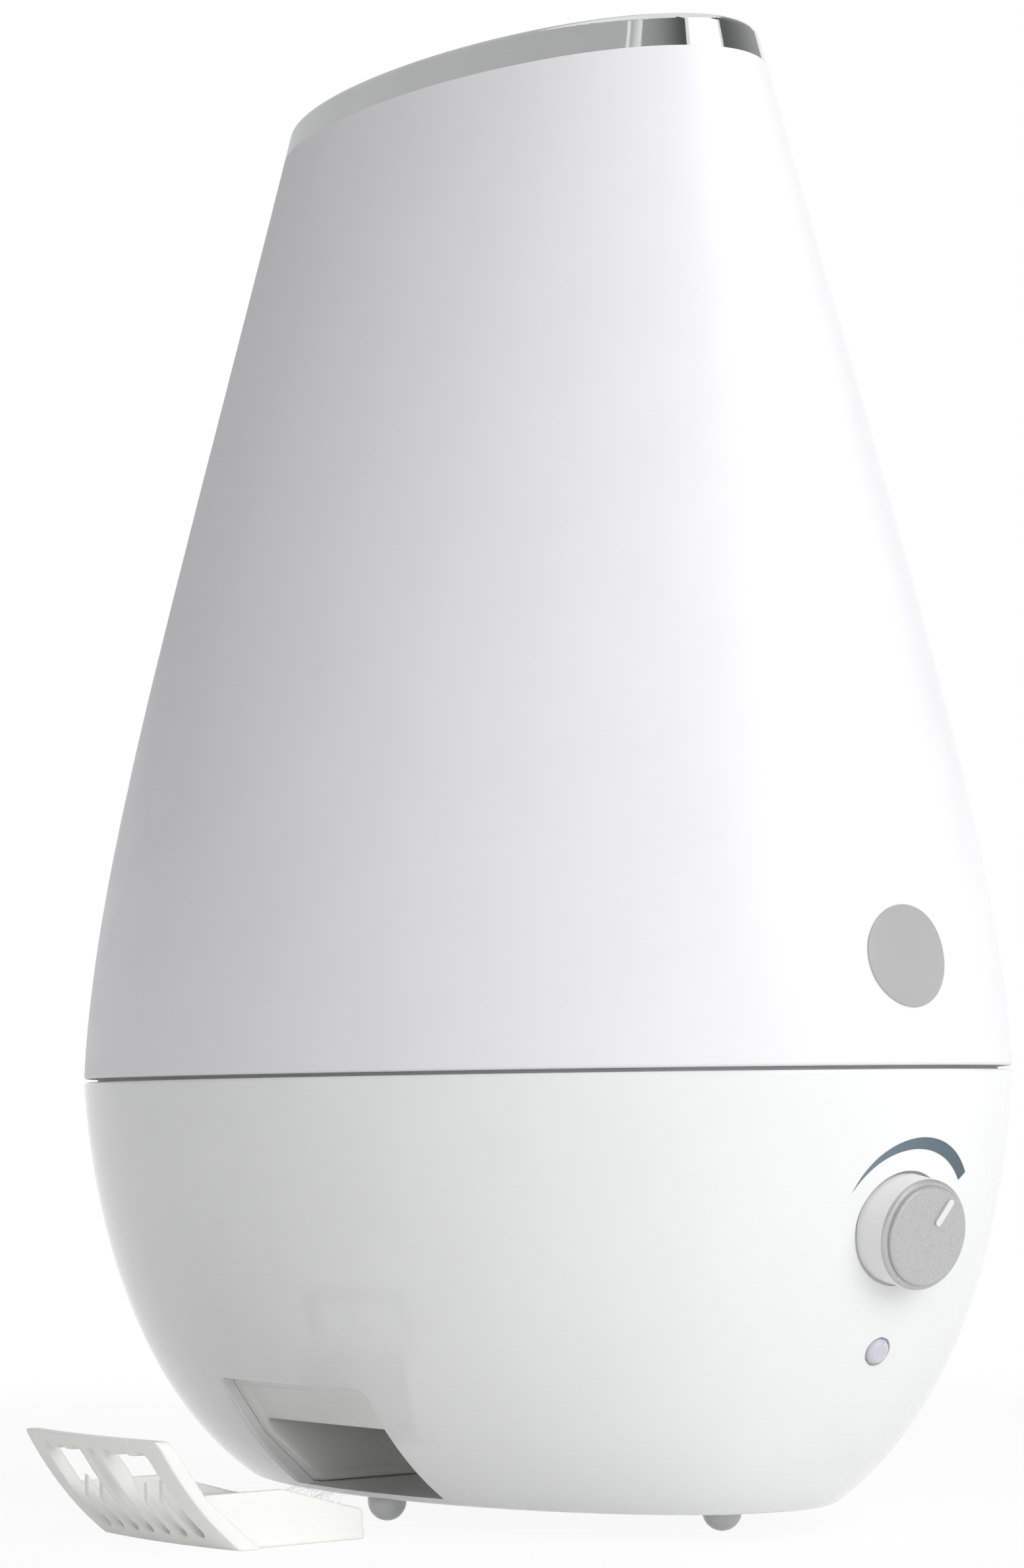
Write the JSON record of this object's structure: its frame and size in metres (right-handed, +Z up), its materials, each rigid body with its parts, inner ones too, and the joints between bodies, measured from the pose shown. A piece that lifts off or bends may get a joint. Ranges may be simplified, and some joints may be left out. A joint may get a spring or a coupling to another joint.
{
  "type": "cool mist humidifier",
  "caption": "Tall oval humidifier: tapering white water tank with a chrome rim on a bowl-shaped base with a front knob, its air filter drawer taken out.",
  "frame": {"origin": "centre of the flat underside of the base, 6 mm above the table that the feet stand on", "axes": "+Z up; -Y towards the front, where the knob is; -X towards the side where the air filter drawer comes out"},
  "size_m": [0.2175, 0.2771, 0.343],
  "materials": {
    "tank_white": "satin",
    "base_white": "gloss",
    "inner_white": "matte",
    "tray_white": "gloss",
    "chrome": "polished",
    "knob_silver": "satin",
    "rubber_grey": "matte",
    "seal_rubber": "matte",
    "steel": "brushed",
    "lens": "gloss",
    "ceramic": "plain",
    "board": "matte",
    "black": "matte",
    "aluminium": "plain",
    "filter_fibre": "matte"
  },
  "bodies": {
    "base": {"base_shell": "base_white", "bottom_cover": "base_white", "foot_left": "base_white", "foot_right": "base_white", "foot_front": "base_white", "foot_rear": "base_white", "cover_screws": "steel", "water_basin": "inner_white", "deck_screws": "steel", "float_clip": "inner_white", "reed_switch": "black", "transducer_disc": "ceramic", "transducer_seal": "seal_rubber", "transducer_holder": "aluminium", "transducer_screws": "steel", "filter_duct": "inner_white", "blower_housing": "black", "blower_cover": "black", "blower_motor": "black", "potentiometer": "black", "led_lens": "lens", "led": "lens", "control_board": "board", "driver_board": "board", "heat_sink": "aluminium", "power_board": "board", "transformer": "black", "capacitors": "black", "cord_gland": "rubber_grey"},
    "tank": {"tank_shell": "tank_white", "tank_floor": "inner_white", "mist_chimney": "inner_white", "chrome_ring": "chrome", "top_cover": "tank_white"},
    "nozzle": {"mist_nozzle": "tank_white"},
    "cap": {"tank_cap": "inner_white", "cap_seal": "seal_rubber", "valve_spring": "steel"},
    "valve": {"valve_plunger": "inner_white", "valve_seal": "seal_rubber"},
    "float": {"float_ring": "inner_white"},
    "impeller": {"blower_impeller": "black"},
    "knob": {"knob_body": "knob_silver", "knob_face": "knob_silver", "pot_shaft": "steel"},
    "drawer": {"filter_tray": "tray_white", "filter_pad": "filter_fibre"}
  },
  "joints": [
    {"name": "tank_lift", "type": "slide", "parent": "base", "child": "tank", "axis": [0, 0, 1], "range_m": [0, 0.12]},
    {"name": "nozzle_turn", "type": "hinge", "parent": "tank", "child": "nozzle", "pos_m": [0, -0.04, 0.331], "axis": [0, 0, 1], "continuous": true},
    {"name": "cap_turn", "type": "hinge", "parent": "tank", "child": "cap", "pos_m": [0, 0.052, 0.084], "axis": [0, 0, 1], "range_deg": [0, 90]},
    {"name": "valve_slide", "type": "slide", "parent": "cap", "child": "valve", "axis": [0, 0, 1], "range_m": [-0.0026, 0], "deforming": ["valve_spring"]},
    {"name": "float_rise", "type": "slide", "parent": "base", "child": "float", "axis": [0, 0, 1], "range_m": [0, 0.008]},
    {"name": "impeller_spin", "type": "hinge", "parent": "base", "child": "impeller", "pos_m": [-0.006, -0.003, 0.027], "axis": [1, 0, 0], "continuous": true},
    {"name": "knob_turn", "type": "hinge", "parent": "base", "child": "knob", "pos_m": [0, -0.13124, 0.0622], "axis": [0, 0.9834, 0.1817], "range_deg": [-130, 25]},
    {"name": "drawer_slide", "type": "slide", "parent": "base", "child": "drawer", "axis": [0.8893, 0, 0.4573], "range_m": [0, 0.01968]}
  ],
  "couplings": [
    {"joint": "valve_slide", "follows": "tank_lift", "ratio": -0.0215}
  ]
}
